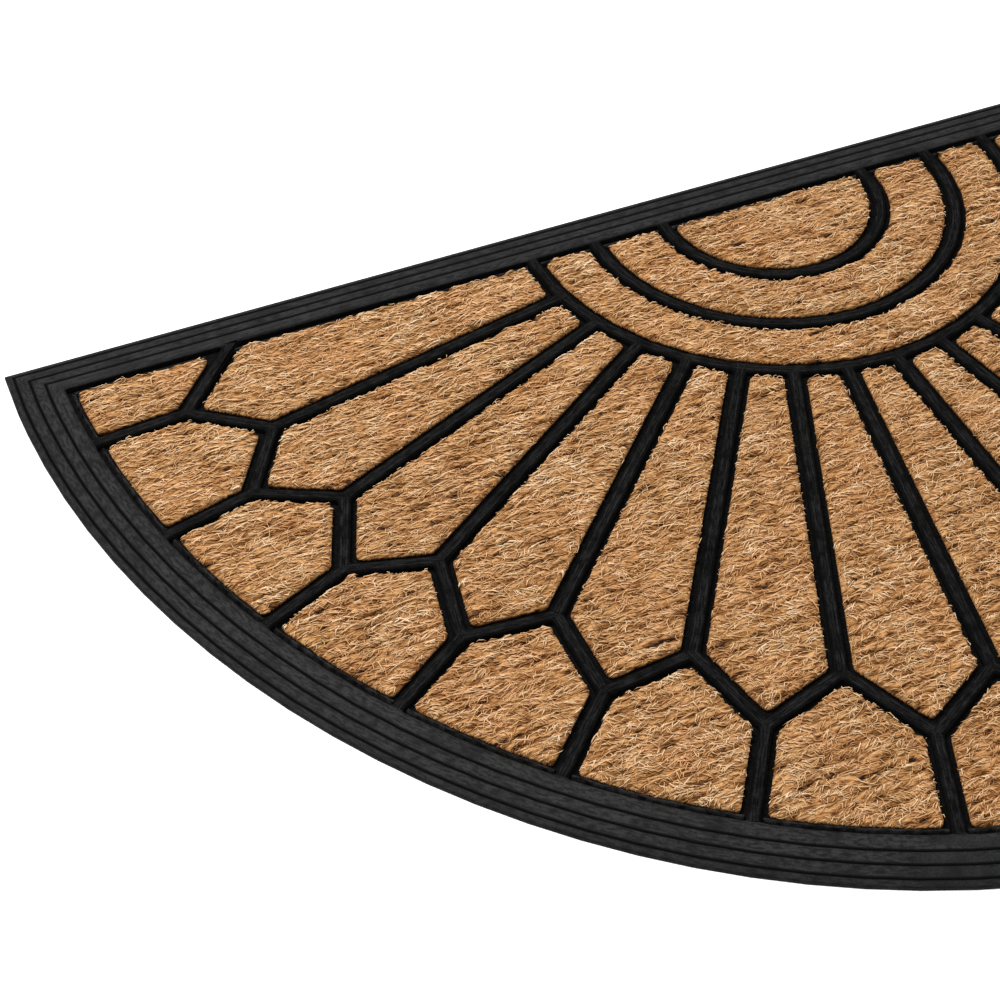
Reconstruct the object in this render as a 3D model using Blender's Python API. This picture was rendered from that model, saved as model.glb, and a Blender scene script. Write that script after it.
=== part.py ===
# Half-round doormat: coir panels set in a moulded rubber tray with a sunburst of ribs.

import bmesh
import bpy
from math import asin, cos, pi, radians, sin, sqrt, tan
from mathutils import Vector

# Overall size in metres. The straight side faces +Y, the oval side -Y.
MAT_WIDTH = 0.750
MAT_DEPTH = 0.450
OVAL_CENTRE_INSET = 0.0346
SUN_CENTRE_INSET = 0.029

# Heights above the floor
EDGE_TOP = 0.0016
TRAY_FLOOR = 0.0018
RIB_TOP = 0.0050
COIR_TOP = 0.0062
SEAT_GAP = 0.0003

# Rubber border from the outer edge inward: sloping bands, each with a groove after it,
# then a last slope up to the flat inner band.
BANDS = [
    {"width": 0.0030, "rise": 0.0010},
    {"width": 0.0050, "rise": 0.0009},
    {"width": 0.0051, "rise": 0.0008},
]
GROOVE_WIDTH = 0.0010
GROOVE_DEPTH = 0.0009
LAST_SLOPE_WIDTH = 0.0030
BORDER_WIDTH = 0.0230
CORNER_POINT_INSET = 0.0255

# Ribs: half rings about the sun's centre, then rays that end in a row of honeycomb.
# The ray ends and honeycomb tips are shares of the way from the sun's centre to the oval.
RIB_WIDTH = 0.0055
RING_RADII = [0.0542, 0.0904, 0.1231]
SECTORS = 16
RAY_END = 0.744
HONEYCOMB_TIP = 0.822
RIM_MIDDLE = 0.90
POCKET_CORNER_RADIUS = 0.0012

# Coir panels, each with a rubber moat all round it
MOAT_AT_RIB = 0.0025
MOAT_AT_BORDER = 0.0042
PANEL_CORNER_RADIUS = 0.0028
SHOULDER_WIDTH = 0.0010
SHOULDER_DROP = 0.0008

# Facets
OVAL_STEPS = 64
RING_STEPS = 20
CORNER_STEPS = 3
SHARP_TURN = radians(15)

STRAIGHT_Y = MAT_DEPTH / 2
OVAL_CENTRE = Vector((0.0, STRAIGHT_Y - OVAL_CENTRE_INSET))
OVAL_HALF_WIDTH = MAT_WIDTH / 2
OVAL_HALF_DEPTH = MAT_DEPTH - OVAL_CENTRE_INSET
SUN_CENTRE = Vector((0.0, STRAIGHT_Y - SUN_CENTRE_INSET))


# Outlines are lists of points in the floor plane.

def edges(outline):
    return zip(outline, outline[1:] + outline[:1])


def keep_side(outline, on_line, inward):
    # what lies on the inward side of a straight line
    kept = []
    for start, end in edges(outline):
        before = (start - on_line).dot(inward)
        after = (end - on_line).dot(inward)
        if before >= 0:
            kept.append(start)
        if before * after < 0:
            kept.append(start.lerp(end, before / (before - after)))
    return kept


def keep_off_rib(outline, start, end, middle, clearance):
    # what lies on the same side of a straight rib as the cell's middle, clear of the rib
    along = (end - start).normalized()
    inward = Vector((-along.y, along.x))
    if inward.dot(middle - start) < 0:
        inward = -inward
    return keep_side(outline, start + inward * clearance, inward)


def keep_off_sun(outline, radius):
    # what lies outside a ring about the sun's centre
    kept = []
    for start, end in edges(outline):
        offset = start - SUN_CENTRE
        run = end - start
        starts_inside = offset.length < radius
        ends_inside = (end - SUN_CENTRE).length < radius
        if not starts_inside:
            kept.append(start)
        if starts_inside != ends_inside:
            half = offset.dot(run) / run.length_squared
            rest = (offset.length_squared - radius ** 2) / run.length_squared
            root = sqrt(half ** 2 - rest)
            crossing = -half + root if starts_inside else -half - root
            kept.append(start.lerp(end, crossing))
    return kept


def round_corners(outline, radius):
    # a short arc at each sharp corner
    count = len(outline)
    before = [outline[index] - outline[index - 1] for index in range(count)]
    after = [outline[(index + 1) % count] - outline[index] for index in range(count)]
    turns = [abs(before[index].angle_signed(after[index])) for index in range(count)]
    corners = [outline[index] for index in range(count) if turns[index] > SHARP_TURN]
    rounded = []
    for index, point in enumerate(outline):
        if turns[index] <= SHARP_TURN:
            if min((point - corner).length for corner in corners) > 1.5 * radius:
                rounded.append(point)
            continue
        reach = radius * tan(turns[index] / 2)
        first = point - before[index].normalized() * reach
        last = point + after[index].normalized() * reach
        for step in range(CORNER_STEPS + 1):
            share = step / CORNER_STEPS
            rounded.append(first.lerp(point, share).lerp(point.lerp(last, share), share))
    return rounded


def mat_outline(inset):
    # the half oval with its straight side, moved in by a distance
    start = radians(-12)
    end = pi - start
    points = []
    for step in range(OVAL_STEPS + 1):
        angle = start + (end - start) * step / OVAL_STEPS
        point = Vector((-OVAL_HALF_WIDTH * cos(angle), -OVAL_HALF_DEPTH * sin(angle)))
        points.append(OVAL_CENTRE + point - oval_normal(point) * inset)
    return keep_side(points, Vector((0.0, STRAIGHT_Y - inset)), Vector((0.0, -1.0)))


def oval_normal(point):
    # the outward direction at a point given from the oval's centre
    slope = Vector((point.x / OVAL_HALF_WIDTH ** 2, point.y / OVAL_HALF_DEPTH ** 2))
    return slope.normalized()


# Places along the rays, which are numbered from the left end of the straight side

def ray(number):
    angle = pi * number / SECTORS
    return Vector((-cos(angle), -sin(angle)))


def on_ray(number, share):
    # a point at a share of the way from the sun's centre to the oval
    direction = ray(number)
    offset = SUN_CENTRE - OVAL_CENTRE
    wide = 1 / OVAL_HALF_WIDTH ** 2
    deep = 1 / OVAL_HALF_DEPTH ** 2
    square = wide * direction.x ** 2 + deep * direction.y ** 2
    half = deep * direction.y * offset.y
    rest = deep * offset.y ** 2 - 1
    reach = (-half + sqrt(half ** 2 - square * rest)) / square
    return SUN_CENTRE + direction * reach * share


def ray_end(number):
    return on_ray(number, RAY_END)


def tip(number):
    return on_ray(number, HONEYCOMB_TIP)


def tip_foot(number):
    # where the rib from a honeycomb tip heads: square to the border
    at_oval = on_ray(number, 1.0) - OVAL_CENTRE
    return tip(number) + oval_normal(at_oval) * BORDER_WIDTH


# Cells of the pattern: a clearance is kept from each rib's centre line, and an inset from
# the mat's edge.

def sun_cell(ring, clearance, inset):
    outer = RING_RADII[ring] - clearance
    inner = RING_RADII[ring - 1] + clearance if ring else 0.0
    points = ring_points(outer, inset)
    if inner:
        points += reversed(ring_points(inner, inset))
    return points


def ring_points(radius, inset):
    start = asin((inset - SUN_CENTRE_INSET) / radius)
    points = []
    for step in range(RING_STEPS + 1):
        angle = start + (pi - 2 * start) * step / RING_STEPS
        points.append(SUN_CENTRE + Vector((-cos(angle), -sin(angle))) * radius)
    return points


def petal_cell(number, clearance, inset):
    # between two rays, from the outer ring to the honeycomb
    outline = mat_outline(inset)
    middle = on_ray(number + 0.5, RAY_END)
    for side in (number, number + 1):
        if 0 < side < SECTORS:
            outline = keep_off_rib(outline, SUN_CENTRE, ray_end(side), middle, clearance)
        outline = keep_off_rib(outline, ray_end(side), tip(number + 0.5), middle, clearance)
    return keep_off_sun(outline, RING_RADII[-1] + clearance)


def rim_cell(number, clearance, inset):
    # at the end of a ray, between the honeycomb and the border
    outline = mat_outline(inset)
    middle = on_ray(number, RIM_MIDDLE)
    for side in (number - 0.5, number + 0.5):
        if 0 < side < SECTORS:
            outline = keep_off_rib(outline, ray_end(number), tip(side), middle, clearance)
            outline = keep_off_rib(outline, tip(side), tip_foot(side), middle, clearance)
    return outline


def all_cells(clearance, inset, corner_radius):
    cells = {}
    for ring in range(len(RING_RADII)):
        cells[f"coir_sun_{ring + 1}"] = sun_cell(ring, clearance, inset)
    for number in range(SECTORS):
        cells[f"coir_petal_{number + 1:02d}"] = petal_cell(number, clearance, inset)
    for number in range(SECTORS + 1):
        cells[f"coir_rim_{number:02d}"] = rim_cell(number, clearance, inset)
    return {name: round_corners(cell, corner_radius) for name, cell in cells.items()}


# Solids

def plain_material(name, colour, roughness):
    material = bpy.data.materials.new(name)
    material.use_nodes = True
    shader = material.node_tree.nodes["Principled BSDF"]
    shader.inputs["Base Color"].default_value = (*colour, 1.0)
    shader.inputs["Roughness"].default_value = roughness
    shader.inputs["Metallic"].default_value = 0.0
    return material


def flat_solid(name, outlines, bottom, top, collection):
    # a filled 2D curve of one or more outlines, made a closed mesh
    curve = bpy.data.curves.new(name, "CURVE")
    curve.dimensions = "2D"
    curve.fill_mode = "BOTH"
    curve.extrude = (top - bottom) / 2
    for outline in outlines:
        spline = curve.splines.new("POLY")
        spline.points.add(len(outline) - 1)
        for target, point in zip(spline.points, outline):
            target.co = (point.x, point.y, 0.0, 1.0)
        spline.use_cyclic_u = True
    drawn = bpy.data.objects.new(f"{name}_curve", curve)
    drawn.location.z = (top + bottom) / 2
    collection.objects.link(drawn)
    bpy.context.view_layer.update()
    depsgraph = bpy.context.evaluated_depsgraph_get()
    mesh = bpy.data.meshes.new_from_object(drawn.evaluated_get(depsgraph))
    weld(mesh)
    solid = bpy.data.objects.new(name, mesh)
    solid.matrix_world = drawn.matrix_world
    collection.objects.link(solid)
    bpy.data.objects.remove(drawn)
    bpy.data.curves.remove(curve)
    return solid


def weld(mesh):
    shape = bmesh.new()
    shape.from_mesh(mesh)
    bmesh.ops.remove_doubles(shape, verts=shape.verts, dist=0.00001)
    bmesh.ops.recalc_face_normals(shape, faces=shape.faces)
    shape.to_mesh(mesh)
    shape.free()


def step_top(solid, steps):
    # move the top in and up by each step in turn, which leaves a slope behind it
    shape = bmesh.new()
    shape.from_mesh(solid.data)
    top = [face for face in shape.faces if face.normal.z > 0.9]
    for width, rise in steps:
        bmesh.ops.inset_region(shape, faces=top, thickness=width, depth=rise, use_even_offset=True)
    shape.to_mesh(solid.data)
    shape.free()


def border_steps():
    steps = []
    height = EDGE_TOP
    for band in BANDS:
        steps.append((band["width"], band["rise"]))
        steps.append((GROOVE_WIDTH / 2, -GROOVE_DEPTH))
        steps.append((GROOVE_WIDTH / 2, GROOVE_DEPTH))
        height += band["rise"]
    steps.append((LAST_SLOPE_WIDTH, RIB_TOP - height))
    return steps


def tray_outline():
    # the oval's points beside the two corners move down it, clear of the border's width,
    # because they would cross as the top steps in
    outline = mat_outline(0.0)
    for point in outline:
        if 0.0001 < STRAIGHT_Y - point.y < BORDER_WIDTH:
            height = OVAL_CENTRE_INSET - CORNER_POINT_INSET
            reach = OVAL_HALF_WIDTH * sqrt(1 - (height / OVAL_HALF_DEPTH) ** 2)
            point.x = reach if point.x > 0 else -reach
            point.y = STRAIGHT_Y - CORNER_POINT_INSET
    return outline


def rubber_tray(mat, tools):
    tray = flat_solid("rubber_tray", [tray_outline()], 0.0, EDGE_TOP, mat)
    step_top(tray, border_steps())
    pockets = all_cells(RIB_WIDTH / 2, BORDER_WIDTH, POCKET_CORNER_RADIUS)
    cutter = flat_solid("pocket_cutter", pockets.values(), TRAY_FLOOR, 2 * RIB_TOP, tools)
    cutter.display_type = "WIRE"
    cutter.hide_render = True
    cut = tray.modifiers.new("Pockets", "BOOLEAN")
    cut.operation = "DIFFERENCE"
    cut.solver = "EXACT"
    cut.object = cutter
    tray.data.materials.append(plain_material("rubber", (0.022, 0.022, 0.024), 0.75))


def coir_panels(mat):
    coir = plain_material("coir", (0.50, 0.31, 0.14), 0.95)
    clearance = RIB_WIDTH / 2 + MOAT_AT_RIB
    cells = all_cells(clearance, BORDER_WIDTH + MOAT_AT_BORDER, PANEL_CORNER_RADIUS)
    for name, outline in cells.items():
        bottom = TRAY_FLOOR + SEAT_GAP
        panel = flat_solid(name, [outline], bottom, COIR_TOP - SHOULDER_DROP, mat)
        step_top(panel, [(SHOULDER_WIDTH, SHOULDER_DROP)])
        panel.data.materials.append(coir)


def new_collection(name):
    collection = bpy.data.collections.new(name)
    bpy.context.scene.collection.children.link(collection)
    return collection


for item in list(bpy.data.objects):
    bpy.data.objects.remove(item, do_unlink=True)

doormat = new_collection("coir_doormat")
cutters = new_collection("cutters")
rubber_tray(doormat, cutters)
coir_panels(doormat)
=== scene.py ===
from math import cos, pi, radians, sin, sqrt

import bmesh
import bpy
import numpy as np
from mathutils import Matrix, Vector
from mathutils.geometry import delaunay_2d_cdt


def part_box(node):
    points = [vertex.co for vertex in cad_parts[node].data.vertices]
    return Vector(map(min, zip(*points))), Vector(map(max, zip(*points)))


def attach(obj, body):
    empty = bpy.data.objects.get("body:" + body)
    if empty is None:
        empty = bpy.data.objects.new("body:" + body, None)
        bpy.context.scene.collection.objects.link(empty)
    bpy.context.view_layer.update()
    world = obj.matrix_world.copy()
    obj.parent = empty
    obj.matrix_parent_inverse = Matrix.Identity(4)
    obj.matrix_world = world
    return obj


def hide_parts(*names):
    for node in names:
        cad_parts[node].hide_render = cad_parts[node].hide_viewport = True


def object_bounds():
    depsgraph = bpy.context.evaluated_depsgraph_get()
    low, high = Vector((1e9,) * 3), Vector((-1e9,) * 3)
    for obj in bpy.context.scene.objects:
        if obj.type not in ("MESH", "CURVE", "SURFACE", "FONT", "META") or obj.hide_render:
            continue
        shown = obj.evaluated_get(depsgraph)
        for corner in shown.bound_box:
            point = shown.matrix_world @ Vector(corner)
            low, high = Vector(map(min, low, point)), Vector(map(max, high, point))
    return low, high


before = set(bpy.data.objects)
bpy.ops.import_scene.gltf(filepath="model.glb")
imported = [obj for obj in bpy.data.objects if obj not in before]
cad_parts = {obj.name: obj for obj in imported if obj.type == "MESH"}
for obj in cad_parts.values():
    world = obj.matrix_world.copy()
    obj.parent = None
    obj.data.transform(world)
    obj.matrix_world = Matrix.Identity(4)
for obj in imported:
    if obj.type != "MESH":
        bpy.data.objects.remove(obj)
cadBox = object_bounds()
print("frame loaded:", len(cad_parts), "nodes")

scene = bpy.context.scene
scene.view_settings.view_transform = "Standard"  # keeps the ground white and the rubber black
mm = 0.001


# The mat's plan, as the solids have it

plan = {
    "halfWidth": 375 * mm,
    "ovalDepth": 415.4 * mm,  # from the oval's centre to the front
    "ovalCentreInset": 34.6 * mm,
    "sunInset": 29 * mm,
    "ringRadii": [54.2 * mm, 90.4 * mm, 123.1 * mm],
    "sectors": 16,
    "rayEnd": 0.744,  # shares of the way from the sun's centre to the oval
    "honeycombTip": 0.822,
    "footLength": 60 * mm,  # long enough to reach past the mat's edge
    "ribWidth": 5.5 * mm,
    "moatWidth": 2.5 * mm,  # between a rib and the coir
    "borderWidth": 23 * mm,
    "coirInset": 27.2 * mm,
    "trayFloor": 1.8 * mm,
    "grooves": [3.5 * mm, 9.5 * mm, 15.6 * mm],  # their middles, in from the mat's edge
    "grooveWidth": 1 * mm,
}
onLine = 0.1 * mm  # a point this near to a line counts as on it
straightY = cadBox[1].y
sunCentre = Vector((0, straightY - plan["sunInset"]))
ovalCentre = Vector((0, straightY - plan["ovalCentreInset"]))
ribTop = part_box("rubber_tray")[1].z


def onRay(number, share):
    # a point at a share of the way from the sun's centre to the oval
    angle = pi * number / plan["sectors"]
    way = Vector((-cos(angle), -sin(angle)))
    start = sunCentre - ovalCentre
    wide = 1 / plan["halfWidth"] ** 2
    deep = 1 / plan["ovalDepth"] ** 2
    a = wide * way.x ** 2 + deep * way.y ** 2
    b = deep * way.y * start.y
    c = deep * start.y ** 2 - 1
    reach = (-b + sqrt(b * b - a * c)) / a
    return sunCentre + way * reach * share


def footLines():
    # from each honeycomb tip, square to the border
    lines = []
    for number in range(plan["sectors"]):
        tip = onRay(number + 0.5, plan["honeycombTip"])
        out = onRay(number + 0.5, 1) - ovalCentre
        out = Vector((out.x / plan["halfWidth"] ** 2, out.y / plan["ovalDepth"] ** 2))
        lines.append((tip, tip + out.normalized() * plan["footLength"]))
    return lines


def ribLines():
    # the straight ribs' centre lines: rays, honeycomb sides and feet
    lines = []
    for number in range(plan["sectors"] + 1):
        end = onRay(number, plan["rayEnd"])
        if 0 < number < plan["sectors"]:
            start = sunCentre + (end - sunCentre).normalized() * plan["ringRadii"][-1]
            lines.append((start, end))
        for side in (number - 0.5, number + 0.5):
            if 0 < side < plan["sectors"]:
                lines.append((end, onRay(side, plan["honeycombTip"])))
    return lines + footLines()


# Shared helpers

weldDistance = 0.002 * mm
facingDown = -0.9  # the normals of an underside have less height than this


def weldedCopy(node):
    shape = bmesh.new()
    shape.from_mesh(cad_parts[node].data)
    bmesh.ops.remove_doubles(shape, verts=shape.verts, dist=weldDistance)
    return shape


def undersideOutline(node):
    # the edge of a node's flat underside, counter-clockwise
    shape = weldedCopy(node)
    follow = {}
    for face in shape.faces:
        if face.normal.z < facingDown:
            for loop in face.loops:
                if any(other.normal.z > facingDown for other in loop.edge.link_faces):
                    follow[loop.vert] = loop.link_loop_next.vert
    corners = [next(iter(follow))]
    while follow[corners[-1]] is not corners[0]:
        corners.append(follow[corners[-1]])
    points = np.array([corner.co[:2] for corner in corners])[::-1]
    shape.free()
    return points


def nearestOnOutline(points, outline):
    # for each point: its distance to the outline, and the run along it to the nearest place
    step = np.roll(outline, -1, axis=0) - outline
    length = np.hypot(step[:, 0], step[:, 1])
    offset = points[:, None, :] - outline[None]
    share = np.clip((offset * step).sum(axis=2) / length ** 2, 0, 1)
    gap = offset - share[..., None] * step
    distance = np.sqrt((gap ** 2).sum(axis=2))
    best = distance.argmin(axis=1)
    rows = np.arange(len(points))
    run = (np.cumsum(length) - length)[best] + share[rows, best] * length[best]
    return distance[rows, best], run


def isInside(points, outline):
    x, y = points[:, 0, None], points[:, 1, None]
    startX, startY = outline[:, 0], outline[:, 1]
    endX, endY = np.roll(startX, -1), np.roll(startY, -1)
    rise = np.where(endY == startY, 1e-12, endY - startY)
    crossing = startX + (endX - startX) * (y - startY) / rise
    hits = ((startY > y) != (endY > y)) & (x < crossing)
    return hits.sum(axis=1) % 2 == 1


def depthInside(points, outline):
    distance = nearestOnOutline(points, outline)[0]
    return np.where(isInside(points, outline), distance, -distance)


def softNoise(x, y, seed):
    # a smooth random field from -1 to 1, one hill per unit
    cellX, cellY = np.floor(x), np.floor(y)
    shareX, shareY = x - cellX, y - cellY
    shareX = shareX * shareX * (3 - 2 * shareX)
    shareY = shareY * shareY * (3 - 2 * shareY)

    def corner(stepX, stepY):
        wave = np.sin((cellX + stepX) * 127.1 + (cellY + stepY) * 311.7 + seed * 74.7) * 43758.5453
        return 2 * (wave - np.floor(wave)) - 1

    near = corner(0, 0) * (1 - shareX) + corner(1, 0) * shareX
    far = corner(0, 1) * (1 - shareX) + corner(1, 1) * shareX
    return near * (1 - shareY) + far * shareY


def meshFrom(name, points, triangles, tone=None):
    mesh = bpy.data.meshes.new(name)
    mesh.vertices.add(len(points))
    mesh.vertices.foreach_set("co", np.asarray(points, np.float32).ravel())
    mesh.loops.add(len(triangles) * 3)
    mesh.loops.foreach_set("vertex_index", np.asarray(triangles, np.int32).ravel())
    mesh.polygons.add(len(triangles))
    mesh.polygons.foreach_set("loop_start", np.arange(0, len(triangles) * 3, 3, dtype=np.int32))
    mesh.update(calc_edges=True)
    mesh.shade_smooth()
    if tone is not None:
        layer = mesh.attributes.new("tone", "FLOAT", "POINT")
        layer.data.foreach_set("value", np.asarray(tone, np.float32))
    return mesh


def addPiece(name, mesh, materials):
    piece = bpy.data.objects.new(name, mesh)
    scene.collection.objects.link(piece)
    for material in materials:
        mesh.materials.append(material)
    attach(piece, "root")
    return piece


def newMaterial(name, roughness, specular):
    material = bpy.data.materials.new(name)
    material.use_nodes = True
    tree = material.node_tree
    shader = tree.nodes["Principled BSDF"]
    shader.inputs["Roughness"].default_value = roughness
    shader.inputs["Specular IOR Level"].default_value = specular
    return material, tree, shader


def noise(tree, source, scale, detail=2.0, stretch=(1, 1, 1), turn=0.0):
    # noise on a vector output, stretched and turned about Z
    mapping = tree.nodes.new("ShaderNodeMapping")
    mapping.vector_type = "TEXTURE"
    mapping.inputs["Rotation"].default_value = (0, 0, turn)
    mapping.inputs["Scale"].default_value = stretch
    texture = tree.nodes.new("ShaderNodeTexNoise")
    texture.inputs["Scale"].default_value = scale
    texture.inputs["Detail"].default_value = detail
    tree.links.new(source, mapping.inputs["Vector"])
    tree.links.new(mapping.outputs["Vector"], texture.inputs["Vector"])
    return texture.outputs["Fac"]


def maths(tree, operation, *values):
    made = tree.nodes.new("ShaderNodeMath")
    made.operation = operation
    for socket, value in zip(made.inputs, values):
        if isinstance(value, bpy.types.NodeSocket):
            tree.links.new(value, socket)
        else:
            socket.default_value = value
    return made.outputs[0]


def ramp(tree, source, stops):
    # stops are places with a grey or a colour
    made = tree.nodes.new("ShaderNodeValToRGB")
    elements = made.color_ramp.elements
    while len(elements) < len(stops):
        elements.new(0.5)
    for element, (place, colour) in zip(elements, stops):
        element.position = place
        if isinstance(colour, float):
            colour = (colour, colour, colour)
        element.color = (*colour, 1)
    tree.links.new(source, made.inputs["Fac"])
    return made.outputs["Color"]


def tint(tree, mode, amount, first, second):
    made = tree.nodes.new("ShaderNodeMix")
    made.data_type = "RGBA"
    made.blend_type = mode
    for name, value in (("Factor", amount), ("A", first), ("B", second)):
        socket = [item for item in made.inputs if item.name == name and item.enabled][0]
        if isinstance(value, bpy.types.NodeSocket):
            tree.links.new(value, socket)
        else:
            socket.default_value = value
    return [item for item in made.outputs if item.enabled][0]


def bump(tree, shader, height, strength, distance):
    made = tree.nodes.new("ShaderNodeBump")
    made.inputs["Strength"].default_value = strength
    made.inputs["Distance"].default_value = distance
    tree.links.new(height, made.inputs["Height"])
    tree.links.new(made.outputs["Normal"], shader.inputs["Normal"])


# Rubber tray

tray = {
    # rounding of edges
    "ribEdge": 0.9 * mm,
    "ribEdgeSteps": 3,
    "grooveEdge": 0.45 * mm,
    "rimEdge": 0.45 * mm,
    "fineEdgeSteps": 2,
    # the low ledge between border and coir
    "ledgeNear": 24.9 * mm,
    "ledgeFar": 26.9 * mm,
    "ledgeTop": 3.7 * mm,
    "ledgeLean": 0.2 * mm,
    "ledgeRounding": 0.5 * mm,
    "ledgeReach": 4.5 * mm,  # how far it runs on past the coir to meet the ribs
    # walls, and faces this far below the ribs' tops, get the near-black rubber that paints shade
    # into the hollows
    "steep": 0.4,  # the height of a wall's normal, at most
    "hollowDepth": 1.2 * mm,
    # greys across the border from its outer edge, and across a rib from its middle; the border's
    # near-black stops are painted shade in its three grooves and along its inner edge
    "borderGreysAndGrooveShade": [(0.0, 0.008), (0.07, 0.014), (0.110, 0.012), (0.122, 0.001), (0.182, 0.001),
                    (0.194, 0.015), (0.30, 0.018), (0.373, 0.014), (0.385, 0.001),
                    (0.441, 0.001), (0.453, 0.017), (0.56, 0.020), (0.639, 0.015),
                    (0.651, 0.001), (0.706, 0.001), (0.718, 0.018), (0.90, 0.020),
                    (0.97, 0.014), (1.0, 0.004)],
    # painted shade: the rib's near-black stops darken its rounded shoulders beside the moats
    "ribGreysAndShoulderShade": [(0.0, 0.011), (0.11, 0.006), (0.21, 0.015), (0.30, 0.007), (0.39, 0.004),
                 (0.48, 0.004), (0.54, 0.009), (1.0, 0.011)],  # the last two are where ribs meet
    "ledgeGreys": [(0.0, 0.020), (1.0, 0.020)],
    "hollowShadeGreys": [(0.3, 0.0012), (0.8, 0.006)],
    "borderShine": 0.10,
    "ribShine": 0.02,
    # worn streaks, by their length along a run and their width across it
    "borderStreaks": (4 * mm, 1.1 * mm, 1),
    "ribStreaks": (6 * mm, 0.7 * mm, 1),
    "ledgeStreaks": (4 * mm, 1 * mm, 1),
    # noises, in hills per metre
    "blotches": 120.0,
    "grain": 1100.0,
    "hollowGrain": 700.0,
    "roughness": 0.66,
    "relief": 0.35 * mm,
}


def rubberMaterial(name, greys, reach, signed, streakSize, shine):
    # the UV map gives the run along and the place across, which the greys share out over the reach
    material, tree, shader = newMaterial(name, tray["roughness"], shine)
    link = tree.links.new
    uv = tree.nodes.new("ShaderNodeUVMap")
    uv.uv_map = "run"
    split = tree.nodes.new("ShaderNodeSeparateXYZ")
    link(uv.outputs["UV"], split.inputs[0])
    across = split.outputs["Y"]
    if signed:
        across = maths(tree, "ABSOLUTE", across)
    across = maths(tree, "DIVIDE", across, reach)
    base = ramp(tree, across, greys)
    place = tree.nodes.new("ShaderNodeNewGeometry").outputs["Position"]
    streaks = noise(tree, uv.outputs["UV"], 1.0, 3.0, streakSize)
    blotches = noise(tree, place, tray["blotches"], 4.0)
    grain = noise(tree, place, tray["grain"], 3.0)
    # each noise is stretched in contrast, and where they are all high the rubber is worn paler
    worn = maths(tree, "MULTIPLY_ADD", streaks, 3.2, -1.1)
    worn = maths(tree, "MAXIMUM", worn, 0.12)
    worn = maths(tree, "MULTIPLY", worn, maths(tree, "MULTIPLY_ADD", blotches, 3.0, -0.5))
    worn = maths(tree, "MULTIPLY", worn, maths(tree, "MULTIPLY_ADD", grain, 2.4, -0.2))
    shade = ramp(tree, worn, [(0.0, 0.08), (0.5, 0.55), (1.0, 1.0)])
    link(tint(tree, "MULTIPLY", 1.0, base, shade), shader.inputs["Base Color"])
    height = maths(tree, "MULTIPLY_ADD", grain, 0.5, streaks)
    bump(tree, shader, height, 0.5, tray["relief"])
    return material


def hollowShadeMaterial():
    # the pockets' walls and floor, nearly black: painted shade
    material, tree, shader = newMaterial("painted shade rubber in hollows", 0.85, 0.04)
    place = tree.nodes.new("ShaderNodeNewGeometry").outputs["Position"]
    grain = noise(tree, place, tray["hollowGrain"], 3.0)
    colour = ramp(tree, grain, tray["hollowShadeGreys"])
    tree.links.new(colour, shader.inputs["Base Color"])
    bump(tree, shader, grain, 0.4, 0.3 * mm)
    return material


def runsOfFaces(centres, corners, outline, faceOfCorner):
    # along and across for each face corner, by the border or by the rib nearest to its face
    across, along = nearestOnOutline(corners, outline)
    nearest = np.full(len(centres), np.inf)
    owner = np.zeros(len(centres), int)
    lines = ribLines()
    for index, (start, end) in enumerate(lines):
        gap = np.array(start)[None] - centres
        step = np.array(end - start)
        share = np.clip(-(gap @ step) / (step @ step), 0, 1)
        away = np.hypot(*(gap + share[:, None] * step).T)
        closer = away < nearest
        nearest[closer] = away[closer]
        owner[closer] = index
    fromSun = centres - np.array(sunCentre)
    for index, radius in enumerate(plan["ringRadii"]):
        away = np.abs(np.hypot(*fromSun.T) - radius)
        closer = away < nearest
        nearest[closer] = away[closer]
        owner[closer] = len(lines) + index
    onRib = nearestOnOutline(centres, outline)[0] > plan["borderWidth"] + onLine
    for index in range(len(lines) + len(plan["ringRadii"])):
        mine = (onRib & (owner == index))[faceOfCorner]
        if not mine.any():
            continue
        # the runs of different ribs start apart, so that their streaks differ
        if index < len(lines):
            start, end = lines[index]
            way = np.array((end - start).normalized())
            gap = corners[mine] - np.array(start)
            along[mine] = gap @ way + 0.37 * index
            across[mine] = gap @ np.array((-way[1], way[0]))
        else:
            gap = corners[mine] - np.array(sunCentre)
            radius = plan["ringRadii"][index - len(lines)]
            along[mine] = np.arctan2(gap[:, 0], -gap[:, 1]) * radius + index
            across[mine] = np.hypot(*gap.T) - radius
    return along, across, onRib


def roundEdges(shape, edges, width, steps):
    made = bmesh.ops.bevel(shape, geom=edges, offset=width, offset_type="OFFSET", segments=steps,
                           profile=0.5, affect="EDGES", clamp_overlap=False, loop_slide=True)
    for face in made["faces"]:
        face.smooth = True


def seamRibFeet(shape, outline):
    # an edge across each rib's foot, so that rib and border can have their own rubber
    tops = [corner for corner in shape.verts if corner.co.z > ribTop - onLine / 2]
    away = nearestOnOutline(np.array([corner.co[:2] for corner in tops]), outline)[0]
    onBorder = np.abs(away - plan["borderWidth"]) < onLine
    tops = [corner for corner, fits in zip(tops, onBorder) if fits]
    spots = np.array([corner.co[:2] for corner in tops])
    for start, end in footLines():
        way = np.array((end - start).normalized())
        gap = spots - np.array(start)
        across = gap @ np.array((-way[1], way[0]))
        across = np.where(gap @ way > 0, across, np.inf)
        left = tops[int(np.where(across > 0, across, np.inf).argmin())]
        right = tops[int(np.where(across < 0, -across, np.inf).argmin())]
        if (left.co - right.co).length < 2.2 * plan["ribWidth"]:  # a foot widens at its corners
            bmesh.ops.connect_vert_pair(shape, verts=[left, right])


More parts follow.
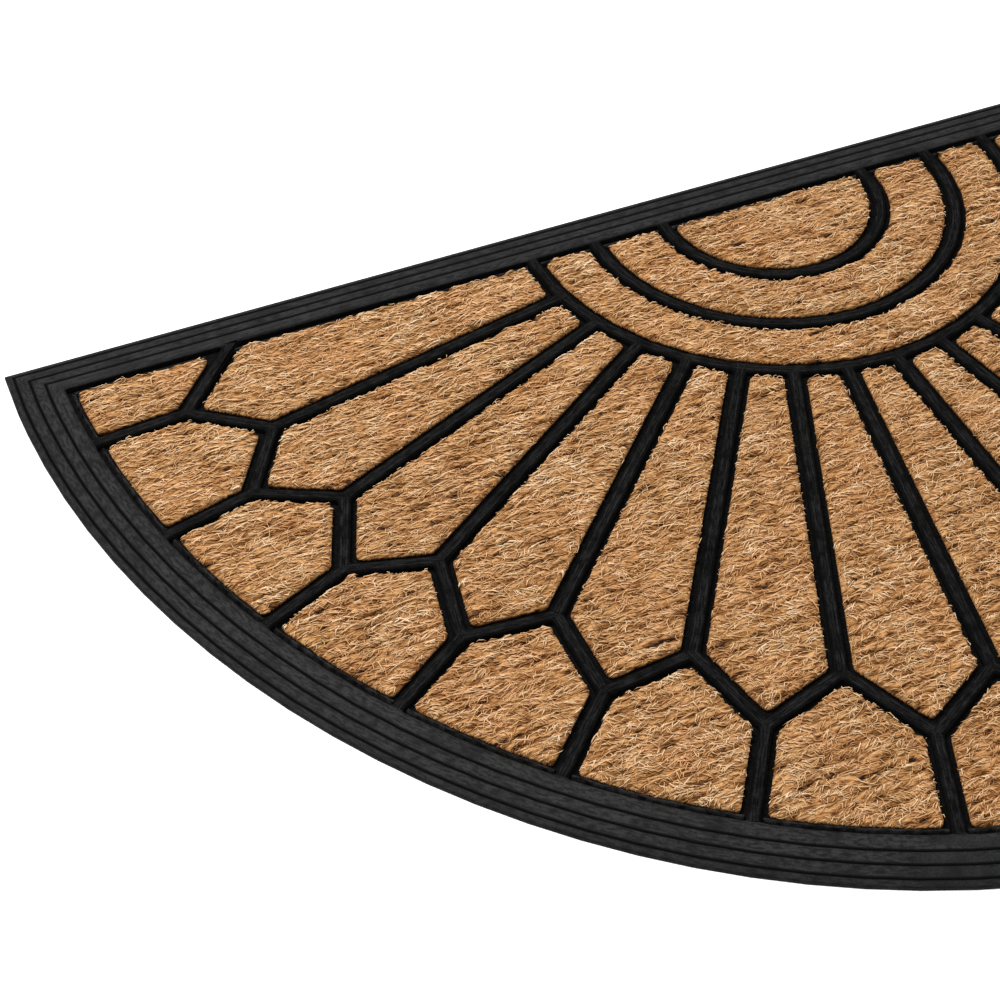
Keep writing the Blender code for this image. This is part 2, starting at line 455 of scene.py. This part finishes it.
def makeTray(borderRubber, ribRubber, hollow):
    shape = weldedCopy("rubber_tray")
    outline = undersideOutline("rubber_tray")
    bmesh.ops.dissolve_limit(shape, angle_limit=radians(1), verts=shape.verts, edges=shape.edges)
    seamRibFeet(shape, outline)
    bmesh.ops.triangulate(shape, faces=shape.faces, ngon_method="BEAUTY")
    for face in shape.faces:
        face.smooth = False

    def edgesAt(low, high, turn, height):
        # edges sharper than the turn, above a height and between two distances from the mat's edge
        found = [edge for edge in shape.edges if edge.calc_face_angle(0) > turn]
        ends = np.array([corner.co for edge in found for corner in edge.verts])
        away = nearestOnOutline(ends[:, :2], outline)[0].reshape(-1, 2)
        tall = ends[:, 2].reshape(-1, 2).min(axis=1) > height
        fits = (away.min(axis=1) > low) & (away.max(axis=1) < high) & tall
        return [edge for edge, fit in zip(found, fits) if fit]

    sharp, dull = radians(40), radians(20)
    offGround = 1 * mm
    edges = edgesAt(plan["borderWidth"] - onLine, plan["halfWidth"], sharp, ribTop - onLine / 2)
    roundEdges(shape, edges, tray["ribEdge"], tray["ribEdgeSteps"])
    for groove in plan["grooves"]:
        for side in (groove - plan["grooveWidth"] / 2, groove + plan["grooveWidth"] / 2):
            edges = edgesAt(side - onLine / 2, side + onLine / 2, dull, offGround)
            roundEdges(shape, edges, tray["grooveEdge"], tray["fineEdgeSteps"])
    edges = edgesAt(-onLine, onLine / 2, sharp, offGround)
    roundEdges(shape, edges, tray["rimEdge"], tray["fineEdgeSteps"])

    mesh = bpy.data.meshes.new("rubberTray")
    shape.to_mesh(mesh)
    shape.free()
    piece = addPiece("rubberTray", mesh, [borderRubber, ribRubber, hollow])
    centres = np.array([face.center for face in mesh.polygons])
    normals = np.array([face.normal for face in mesh.polygons])
    corners = np.array([mesh.vertices[loop.vertex_index].co for loop in mesh.loops])[:, :2]
    faceOfCorner = np.repeat(np.arange(len(centres)), [face.loop_total for face in mesh.polygons])
    along, across, onRib = runsOfFaces(centres[:, :2], corners, outline, faceOfCorner)
    layer = mesh.uv_layers.new(name="run")
    layer.data.foreach_set("uv", np.column_stack([along, across]).ravel().astype(np.float32))

    # each face's material by its number in the list above
    away = nearestOnOutline(centres[:, :2], outline)[0]
    kind = onRib.astype(int)
    pastBorder = away > plan["borderWidth"] - onLine
    low = (centres[:, 2] < ribTop - tray["hollowDepth"]) & (centres[:, 2] > offGround)
    # walls and low faces past the border take the near-black rubber, painted shade in the pockets
    kind[pastBorder & (np.abs(normals[:, 2]) < tray["steep"])] = 2
    kind[pastBorder & low] = 2
    mesh.polygons.foreach_set("material_index", kind.astype(np.int32))
    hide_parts("rubber_tray")
    print("rubber tray:", len(mesh.polygons), "faces")
    return outline


def makeLedges(name, panelOutline, matOutline, material):
    # a low rounded strip beside the coir, wherever a cell meets the border
    away = nearestOnOutline(panelOutline, matOutline)[0]
    onBorder = np.abs(away - plan["coirInset"]) < 2 * onLine
    if not onBorder.any():
        return
    first = int(np.argmin(onBorder))
    order = np.roll(np.arange(len(panelOutline)), -first)
    stretches, current = [], []
    for index in order:
        if onBorder[index]:
            current.append(index)
        elif current:
            stretches.append(current)
            current = []
    if current:
        stretches.append(current)
    near, far, top = tray["ledgeNear"], tray["ledgeFar"], tray["ledgeTop"]
    lean, rounding = tray["ledgeLean"], tray["ledgeRounding"]
    section = [(near, plan["trayFloor"]), (near + lean, top - rounding),
               (near + lean + 0.8 * rounding, top), (far - rounding, top),
               (far, top - 1.2 * rounding), (far, plan["trayFloor"])]
    sides = len(section)
    points, triangles, runs = [], [], []
    for stretch in stretches:
        if len(stretch) < 2:
            continue
        line = panelOutline[stretch]
        step = np.gradient(line, axis=0)
        step /= np.linalg.norm(step, axis=1, keepdims=True)
        line = np.concatenate([[line[0] - step[0] * tray["ledgeReach"]], line,
                               [line[-1] + step[-1] * tray["ledgeReach"]]])
        step = np.concatenate([step[:1], step, step[-1:]])
        out = np.column_stack([step[:, 1], -step[:, 0]])
        start = len(points)
        for place, way, along in zip(line, out, nearestOnOutline(line, matOutline)[1]):
            for inset, height in section:
                spot = place + way * (plan["coirInset"] - inset)
                points.append((*spot, height))
                runs.append((along, inset))
        for ring in range(len(line) - 1):
            for side in range(sides):
                a = start + ring * sides + side
                b = start + ring * sides + (side + 1) % sides
                triangles += [(a, a + sides, b + sides), (a, b + sides, b)]
        last = start + (len(line) - 1) * sides
        for side in range(1, sides - 1):
            triangles.append((start, start + side, start + side + 1))
            triangles.append((last, last + side + 1, last + side))
    mesh = meshFrom(name, points, triangles)
    layer = mesh.uv_layers.new(name="run")
    for loop, corner in zip(layer.data, mesh.loops):
        loop.uv = runs[corner.vertex_index]
    mesh.set_sharp_from_angle(angle=radians(50))
    addPiece(name, mesh, [material])


# Coir panels

coir = {
    # yarn, twisted and laid in rows along X
    "rowPitch": 5.6 * mm,
    "rowWander": 0.7 * mm,
    "rowRoundness": 0.92,  # 1 is a half circle
    "rowSag": 1.7 * mm,
    "crestBelowSolid": 0.5 * mm,
    "plyPitch": 9 * mm,
    "plySlant": -0.9,  # turns of a ply over half a row
    "plyStagger": 0.37,  # turns from one row to the next
    "plyRelief": 0.55 * mm,
    "lumps": 0.45 * mm,
    "pitDepth": 3 * mm,  # hollows between tufts
    "pitsAbove": 0.48,  # 1 has none
    "slitsAbove": 0.80,
    "slitDepth": 0.8 * mm,
    "dashesAbove": 0.15,
    "shoulderWidth": 1.3 * mm,
    "shoulderDrop": 0.8 * mm,
    # packed bed
    "bedSpacing": 1.6 * mm,
    "bedBelowPile": 0.55 * mm,
    # strands, the yarn's own fibres
    "strandsPerSquareMetre": 350000,
    "strandLength": (4 * mm, 12 * mm),
    "shortestHeld": 3.5 * mm,
    "strandRadius": (0.18 * mm, 0.38 * mm),
    "strandLift": 0.35 * mm,
    "endsBelow": 0.55 * mm,
    "twist": radians(-2),
    "unevenTwist": radians(24),
    "swirl": 1.35,  # how far whole tufts turn where the pile is most ruffled
    "bow": 0.09,  # shares of a strand's length
    "tuftBow": 0.14,
    "looseBow": 0.16,
    "looseShare": 0.30,
    "looseTwist": radians(45),
    "looseLength": 0.6,
    "looseThickness": 0.7,
    "overhang": 1.2 * mm,
    # tones from 0, dark, to 1, pale
    "tone": 0.59,
    "patchTone": 0.06,
    "clumpTone": 0.15,
    "unevenTone": 0.045,
    "looseTone": 0.01,
    "depthShadeTone": -0.21,  # painted shade, for each mm below the crests
    # painted shade along stretches of the valleys
    "dashShadeTone": -0.17,
    # loose fibres on top
    "curls": {"perSquareMetre": 11000, "length": (4 * mm, 9 * mm), "bend": (1.2, 4.5),
              "radius": (0.12 * mm, 0.2 * mm), "lift": 0.6 * mm, "points": 7},
    "hairs": {"perSquareMetre": 900, "length": (14 * mm, 28 * mm), "bend": (0.5, 2.2),
              "radius": (0.10 * mm, 0.15 * mm), "lift": 1.0 * mm, "points": 9},
    "looseHeading": (-0.6, 1.4),
    "looseTones": (0.44, 0.74),
    # colours by tone, and noises in hills per metre
    "strandColours": [(0.02, (0.020, 0.008, 0.003)), (0.20, (0.250, 0.108, 0.025)),
                      (0.42, (0.496, 0.272, 0.112)), (0.66, (0.658, 0.444, 0.244)),
                      (0.92, (0.800, 0.660, 0.480))],
    "warmTint": (1.0, 0.86, 0.76, 1.0),
    "bedColours": [(0.05, (0.006, 0.004, 0.004)), (0.28, (0.180, 0.070, 0.018)),
                   (0.55, (0.430, 0.228, 0.090)), (0.90, (0.640, 0.415, 0.215))],
    "speckle": 1000.0,
    "speckleTone": 0.12,
    "warmPatches": 38.0,
    "bedFibres": (4 * mm, 0.45 * mm, 2 * mm),
    "bedRelief": 0.5 * mm,
}
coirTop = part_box("coir_sun_1")[1].z - coir["crestBelowSolid"]

# Random fields over the mat: how long a hill is along X and along Y, and a seed
fields = {
    "wander": (26 * mm, 9 * mm, 3),
    "lumps": (7 * mm, 4 * mm, 5),
    "clumps": (5.5 * mm, 2.8 * mm, 12),
    "tufts": (5 * mm, 3.6 * mm, 41),
    "bows": (5 * mm, 4 * mm, 43),
    "pits": (4.5 * mm, 3.2 * mm, 61),
}

# Random fields along the valleys between rows: how long a hill is, the shift along X and
# the step across from one valley to the next, and a seed
valleyFields = {
    "slits": (11 * mm, 7.3, 1.7, 21),
    "sag": (8 * mm, 0.0, 3.1, 31),
    "dashes": (6 * mm, 3.3, 2.9, 51),
}


def field(name, x, y):
    sizeX, sizeY, seed = fields[name]
    return softNoise(x / sizeX, y / sizeY, seed)


def valleyField(name, x, row, side):
    size, shift, step, seed = valleyFields[name]
    valley = row + (side > 0)
    return softNoise(x / size + valley * shift, valley * step + 0.5, seed)


def rowShape(x, y):
    # the row's number, the place across it from -1 to 1, and its crown
    across = (y + coir["rowWander"] * field("wander", x, y)) / coir["rowPitch"]
    row = np.floor(across)
    side = 2 * (across - row) - 1
    return row, side, np.sqrt(1 - coir["rowRoundness"] * side ** 2)


def pileHeight(x, y):
    row, side, crown = rowShape(x, y)
    openness = 0.5 + 0.5 * valleyField("sag", x, row, side)
    sag = coir["rowSag"] * (0.2 + 1.5 * openness) * (1 - crown)
    turn = x / coir["plyPitch"] + coir["plySlant"] * side + coir["plyStagger"] * row
    ply = np.cos(2 * pi * turn) * crown
    pits = np.clip(field("pits", x, y) - coir["pitsAbove"], 0, 1)
    return (coirTop - sag + coir["plyRelief"] * ply + coir["lumps"] * field("lumps", x, y)
            - coir["pitDepth"] * pits * ruffled(x, y))


def slitShade(x, y):
    # a few gaps that open along the valleys, 1 inside one; the bed is painted near-black in them
    # as shade
    row, side, crown = rowShape(x, y)
    chance = valleyField("slits", x, row, side)
    return np.clip((chance - coir["slitsAbove"]) * 12, 0, 1) * (np.abs(side) > 0.6)


def dashShade(x, y):
    # painted shade: darker stretches along the valleys, 1 inside one
    row, side, crown = rowShape(x, y)
    chance = valleyField("dashes", x, row, side)
    inValley = np.clip((np.abs(side) - 0.3) / 0.4, 0, 1)
    return np.clip((chance - coir["dashesAbove"]) * 2.2, 0, 1) * inValley


def ruffled(x, y):
    # from 1, the most ruffled, at the middle front to 0.3, combed along its rows, at the back
    return np.clip(0.55 + (0.2 - np.abs(x)) - 2.0 * y, 0.3, 1.0)


def shoulderAt(depth):
    return coir["shoulderDrop"] * np.clip(1 - depth / coir["shoulderWidth"], 0, 1) ** 2


def toneMaterial(name, roughness, specular):
    # a material that can read each point's tone and place
    material, tree, shader = newMaterial(name, roughness, specular)
    tone = tree.nodes.new("ShaderNodeAttribute")
    tone.attribute_name = "tone"
    place = tree.nodes.new("ShaderNodeNewGeometry").outputs["Position"]
    return material, tree, shader, tone.outputs["Fac"], place


def coirMaterial():
    material, tree, shader, tone, place = toneMaterial("coir strands", 0.75, 0.25)
    speckle = noise(tree, place, coir["speckle"], 3.0)
    patches = noise(tree, place, coir["warmPatches"], 5.0)
    shade = maths(tree, "MULTIPLY_ADD", speckle, coir["speckleTone"], tone)
    shade = maths(tree, "SUBTRACT", shade, coir["speckleTone"] / 2)
    colour = ramp(tree, shade, coir["strandColours"])
    warm = ramp(tree, patches, [(0.42, 0.0), (0.62, 0.7)])
    colour = tint(tree, "MULTIPLY", warm, colour, coir["warmTint"])
    tree.links.new(colour, shader.inputs["Base Color"])
    return material


def coirBedMaterial():
    # the packed fibre below the loose strands
    material, tree, shader, tone, place = toneMaterial("coir bed", 0.9, 0.1)
    fibres = noise(tree, place, 1.0, 2.0, coir["bedFibres"], coir["twist"])
    fibres = maths(tree, "MULTIPLY_ADD", fibres, 1.3, -0.65)
    shade = maths(tree, "ADD", fibres, tone)
    colour = ramp(tree, shade, coir["bedColours"])
    tree.links.new(colour, shader.inputs["Base Color"])
    bump(tree, shader, fibres, 0.8, coir["bedRelief"])
    return material


def makeBed(name, outline, bottom):
    # a closed pad: rows on top, upright sides, flat underside
    spacing = coir["bedSpacing"]
    rim = []
    for start, step in zip(outline, np.roll(outline, -1, axis=0) - outline):
        pieces = max(1, round(np.hypot(*step) / spacing))
        rim += [start + step * part / pieces for part in range(pieces)]
    rim = np.array(rim)
    low, high = outline.min(axis=0), outline.max(axis=0)
    gridX, gridY = np.meshgrid(np.arange(low[0], high[0], spacing),
                               np.arange(low[1], high[1], spacing * 0.8))
    gridX[1::2] += spacing / 2
    grid = np.column_stack([gridX.ravel(), gridY.ravel()])
    grid = grid[depthInside(grid, outline) > spacing * 0.6]
    count = len(rim)
    border = [(index, (index + 1) % count) for index in range(count)]
    spots = [Vector(point) for point in np.concatenate([rim, grid])]
    made = delaunay_2d_cdt(spots, border, [], 1, 1e-7)
    flat = np.array([tuple(point) for point in made[0]])
    depth = np.maximum(depthInside(flat, outline), 0)
    height = pileHeight(flat[:, 0], flat[:, 1]) - coir["bedBelowPile"] - shoulderAt(depth)
    height -= coir["slitDepth"] * slitShade(flat[:, 0], flat[:, 1])
    total = len(flat)
    top = np.column_stack([flat, height])
    under = np.column_stack([flat[:count], np.full(count, bottom)])
    triangles = [tuple(face) for face in made[2]]
    for index in range(count):
        after = (index + 1) % count
        triangles.append((index, total + index, after))
        triangles.append((after, total + index, total + after))
    underside = delaunay_2d_cdt(spots[:count], border, [], 1, 1e-7)[2]
    triangles += [(total + c, total + b, total + a) for a, b, c in underside]
    points = np.concatenate([top, under])
    # painted shade: the bed's top is darker the further it sags below the crests and in the valley
    # dashes. The lower rim and underside are dark, so the sides darken towards the bottom.
    sag = (coirTop - pileHeight(flat[:, 0], flat[:, 1])) / (2 * mm)
    tone = np.full(len(points), 0.15)
    tone[:total] = np.clip(0.46 - 0.34 * sag - 0.2 * dashShade(*flat.T), 0.1, 0.6)
    # painted shade: the bed goes near-black in the slits
    tone[:total] *= 1 - slitShade(*flat.T)
    return meshFrom(name, points, triangles, tone)


def tubes(lines, radius, tones):
    # closed pointed three-sided tubes along lines of points
    count, steps = lines.shape[:2]
    way = np.gradient(lines, axis=1)
    way /= np.linalg.norm(way, axis=2, keepdims=True) + 1e-12
    side = np.cross(way, [0.0, 0.0, 1.0])
    side /= np.linalg.norm(side, axis=2, keepdims=True) + 1e-12
    up = np.cross(side, way)
    inner = steps - 2
    rings = []
    for corner in range(3):
        turn = pi / 2 + corner * 2 * pi / 3
        spoke = side * cos(turn) + up * sin(turn) * 0.8
        rings.append(lines[:, 1:-1] + spoke[:, 1:-1] * radius[:, None, None])
    ring = np.stack(rings, axis=2).reshape(count, inner * 3, 3)
    points = np.concatenate([lines[:, :1], ring, lines[:, -1:]], axis=1)
    pattern = []
    for corner in range(3):
        after = (corner + 1) % 3
        pattern.append((0, 1 + after, 1 + corner))
        for level in range(inner - 1):
            a, b = 1 + level * 3 + corner, 1 + level * 3 + after
            pattern += [(a, b, b + 3), (a, b + 3, a + 3)]
        end = 1 + (inner - 1) * 3
        pattern.append((end + corner, end + after, 1 + inner * 3))
    pattern = np.array(pattern)
    size = 2 + inner * 3
    triangles = (pattern[None] + size * np.arange(count)[:, None, None]).reshape(-1, 3)
    paintedTopLight = np.array([0.02, -0.04, -0.04])  # painted light and shade: a strand is paler along its top and darker along its two lower sides
    body = (tones[:, 1:-1, None] + paintedTopLight).reshape(count, inner * 3)
    tone = np.concatenate([tones[:, :1], body, tones[:, -1:]], axis=1)
    return points.reshape(-1, 3), triangles, np.clip(tone, 0.02, 1).ravel()


def scatter(outline, rng, count, margin):
    low, high = outline.min(axis=0), outline.max(axis=0)
    spots = rng.uniform(low, high, (count * 5, 2))
    return spots[depthInside(spots, outline) > margin][:count]


def makeStrands(outline, rng, area):
    # held fibres stay within their row, and loose ones are shorter and thinner and lie anyhow
    spots = scatter(outline, rng, int(area * coir["strandsPerSquareMetre"]), -0.3 * mm)
    spots = spots[slitShade(spots[:, 0], spots[:, 1]) < 0.5]
    count = len(spots)
    row, side, crown = rowShape(spots[:, 0], spots[:, 1])
    wild = ruffled(*spots.T)
    loose = rng.random(count) < coir["looseShare"] * (0.5 + 0.7 * wild)
    angle = coir["twist"] + rng.normal(0, coir["unevenTwist"], count) * (0.6 + 0.4 * wild)
    angle += coir["swirl"] * wild * field("tufts", *spots.T)
    angle = np.where(loose, angle + rng.normal(0, coir["looseTwist"], count), angle)
    length = rng.uniform(*coir["strandLength"], count)
    room = (1.05 - np.abs(side)) * coir["rowPitch"] / np.maximum(np.abs(np.sin(angle)), 0.15)
    held = np.minimum(length, np.maximum(room, coir["shortestHeld"]))
    length = np.where(loose, coir["looseLength"] * length, held)
    bow = rng.normal(0, coir["bow"], count) * wild
    bow += np.where(loose, rng.normal(0, coir["looseBow"], count), 0)
    bow += coir["tuftBow"] * wild * field("bows", *spots.T)
    overhang = rng.uniform(0, coir["overhang"], count)
    steps = np.array([-0.5, -0.2, 0.2, 0.5])
    for attempt in range(5):  # a fibre that reaches too far is shortened and tried again
        along = length[:, None] * steps
        aside = (bow * length)[:, None] * (1 - 4 * steps ** 2)
        x = spots[:, :1] + along * np.cos(angle)[:, None] - aside * np.sin(angle)[:, None]
        y = spots[:, 1:] + along * np.sin(angle)[:, None] + aside * np.cos(angle)[:, None]
        flat = np.column_stack([x.ravel(), y.ravel()])
        depth = depthInside(flat, outline).reshape(count, len(steps))
        inside = depth.min(axis=1) > -overhang
        length = np.where(inside, length, length * 0.65)
    inside &= slitShade(x, y).max(axis=1) < 0.5
    x, y, depth, loose, row = (item[inside] for item in (x, y, depth, loose, row))
    count = len(x)
    lift = rng.uniform(-1, 1, count) * coir["strandLift"]
    lift += np.where(loose, coir["strandLift"], 0)
    pile = pileHeight(x, y) + lift[:, None]
    dip = np.array([1, 0, 0, 1]) * coir["endsBelow"]
    z = pile - shoulderAt(np.maximum(depth, 0)) - dip
    radius = rng.uniform(*coir["strandRadius"], count)
    radius *= np.where(loose, coir["looseThickness"], 1)
    patch = softNoise(x[:, 1] / (18 * mm), row * 0.8, 11)  # some rows are paler for a while
    tone = coir["tone"] + coir["patchTone"] * patch
    tone += coir["clumpTone"] * field("clumps", x[:, 1], y[:, 1])
    tone += rng.normal(0, coir["unevenTone"], count)
    tone += np.where(loose, coir["looseTone"], 0)
    # painted shade: strands lower in the pile are darker
    tone = tone[:, None] + coir["depthShadeTone"] * np.clip((coirTop - pile) / mm, -0.5, 2.5)
    # painted shade in stretches of the valleys
    tone += coir["dashShadeTone"] * dashShade(x, y)
    return tubes(np.stack([x, y, z], axis=2), radius, tone)


def makeLoose(outline, rng, area, kind):
    # curls or long hairs that lie on top, each an arc
    spots = scatter(outline, rng, int(area * kind["perSquareMetre"]), 1 * mm)
    count = len(spots)
    steps = kind["points"]
    size = rng.uniform(*kind["length"], count)
    heading = rng.uniform(*coir["looseHeading"], count) + rng.integers(0, 2, count) * pi
    turning = rng.choice([-1, 1], count) * rng.uniform(*kind["bend"], count)
    share = np.linspace(-0.5, 0.5, steps)
    for attempt in range(6):
        direction = heading[:, None] + turning[:, None] * share
        stride = size[:, None] / (steps - 1)
        x = spots[:, :1] + np.cumsum(np.cos(direction) * stride, axis=1)
        y = spots[:, 1:] + np.cumsum(np.sin(direction) * stride, axis=1)
        x -= (x.mean(axis=1) - spots[:, 0])[:, None]
        y -= (y.mean(axis=1) - spots[:, 1])[:, None]
        flat = np.column_stack([x.ravel(), y.ravel()])
        depth = depthInside(flat, outline).reshape(count, steps)
        inside = depth.min(axis=1) > -coir["overhang"]
        size = np.where(inside, size, size * 0.75)
    x, y = x[inside], y[inside]
    count = len(x)
    arch = 1 - (2 * np.abs(share)) ** 3
    z = (pileHeight(x, y) + coirTop) / 2 + kind["lift"] * arch - 0.3 * mm * (1 - arch)
    radius = rng.uniform(*kind["radius"], count)
    tone = np.repeat(rng.uniform(*coir["looseTones"], count)[:, None], steps, axis=1)
    return tubes(np.stack([x, y, z], axis=2), radius, tone)


def joined(parts):
    points, triangles, tones, start = [], [], [], 0
    for partPoints, partTriangles, partTones in parts:
        points.append(partPoints)
        triangles.append(partTriangles + start)
        tones.append(partTones)
        start += len(partPoints)
    return np.concatenate(points), np.concatenate(triangles), np.concatenate(tones)


def polygonArea(outline):
    x, y = outline[:, 0], outline[:, 1]
    return 0.5 * abs(np.dot(x, np.roll(y, -1)) - np.dot(y, np.roll(x, -1)))


def makePanels(strandMaterial, bedMaterial, ledgeMaterial, matOutline):
    names = sorted(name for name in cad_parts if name.startswith("coir_"))
    total = 0
    for index, name in enumerate(names):
        outline = undersideOutline(name)
        area = polygonArea(outline)
        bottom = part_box(name)[0].z
        bed = addPiece(f"{name}_bed", makeBed(f"{name}_bed", outline, bottom), [bedMaterial])
        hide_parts(name)
        rng = np.random.default_rng(100 + index)  # each panel has its own seed
        parts = [makeStrands(outline, rng, area),
                 makeLoose(outline, rng, area, coir["curls"]),
                 makeLoose(outline, rng, area, coir["hairs"])]
        points, triangles, tones = joined(parts)
        mesh = meshFrom(f"{name}_pile", points, triangles, tones)
        pile = addPiece(f"{name}_pile", mesh, [strandMaterial])
        makeLedges(f"{name}_ledge", outline, matOutline, ledgeMaterial)
        total += len(bed.data.polygons) + len(mesh.polygons)
    print("coir panels:", total, "triangles")


# Camera, ground and lights

view = {
    "place": Vector((-535.5, -694.0, 792.2)) * mm,
    "azimuth": radians(23.86),
    "elevation": radians(43.76),
    "lens": 95.82,
    "sensor": 36.0,
    "nearest": 10 * mm,
}

studio = {
    "groundReach": 4,  # metres from its middle to each side
    "groundDrop": 0.1 * mm,  # keeps the ground off the mat's underside
    "groundColour": (0.93, 0.93, 0.93, 1),
    "skyStrength": 0.7,
    "lamps": [
        {"name": "key", "place": (-0.8, 0.5, 1.8), "size": 0.9, "power": 46},
        {"name": "fill", "place": (1.2, -1.0, 1.8), "size": 1.5, "power": 16},
    ],
}


def makeCamera():
    data = bpy.data.cameras.new("camera")
    data.lens = view["lens"]
    data.sensor_width = view["sensor"]
    data.clip_start = view["nearest"]
    camera = bpy.data.objects.new("camera", data)
    scene.collection.objects.link(camera)
    camera.location = view["place"]
    level = cos(view["elevation"])
    way = Vector((sin(view["azimuth"]) * level, cos(view["azimuth"]) * level,
                  -sin(view["elevation"])))
    camera.rotation_euler = way.to_track_quat("-Z", "Y").to_euler()
    scene.camera = camera


def makeGround():
    mesh = bpy.data.meshes.new("ground")
    shape = bmesh.new()
    bmesh.ops.create_grid(shape, x_segments=1, y_segments=1, size=studio["groundReach"])
    shape.to_mesh(mesh)
    shape.free()
    ground = bpy.data.objects.new("ground", mesh)
    scene.collection.objects.link(ground)
    ground.location.z = -studio["groundDrop"]
    material, tree, shader = newMaterial("white ground", 0.9, 0.1)
    shader.inputs["Base Color"].default_value = studio["groundColour"]
    mesh.materials.append(material)


def makeLights():
    world = bpy.data.worlds.new("studio")
    world.use_nodes = True
    background = world.node_tree.nodes["Background"]
    background.inputs["Color"].default_value = (1, 1, 1, 1)
    background.inputs["Strength"].default_value = studio["skyStrength"]
    scene.world = world
    for lamp in studio["lamps"]:
        data = bpy.data.lights.new(lamp["name"], "AREA")
        data.size = lamp["size"]
        data.energy = lamp["power"]
        light = bpy.data.objects.new(lamp["name"], data)
        scene.collection.objects.link(light)
        light.location = lamp["place"]
        light.rotation_euler = (-Vector(lamp["place"])).to_track_quat("-Z", "Y").to_euler()


makeCamera()
makeGround()
makeLights()
print("camera, ground and lights")

borderRubber = rubberMaterial("border rubber", tray["borderGreysAndGrooveShade"], plan["borderWidth"], False,
                              tray["borderStreaks"], tray["borderShine"])
ribRubber = rubberMaterial("rib rubber", tray["ribGreysAndShoulderShade"], plan["ribWidth"], True,
                           tray["ribStreaks"], tray["ribShine"])
ledgeRubber = rubberMaterial("ledge rubber", tray["ledgeGreys"], tray["ledgeFar"], False,
                             tray["ledgeStreaks"], tray["ribShine"])
matOutline = makeTray(borderRubber, ribRubber, hollowShadeMaterial())
makePanels(coirMaterial(), coirBedMaterial(), ledgeRubber, matOutline)
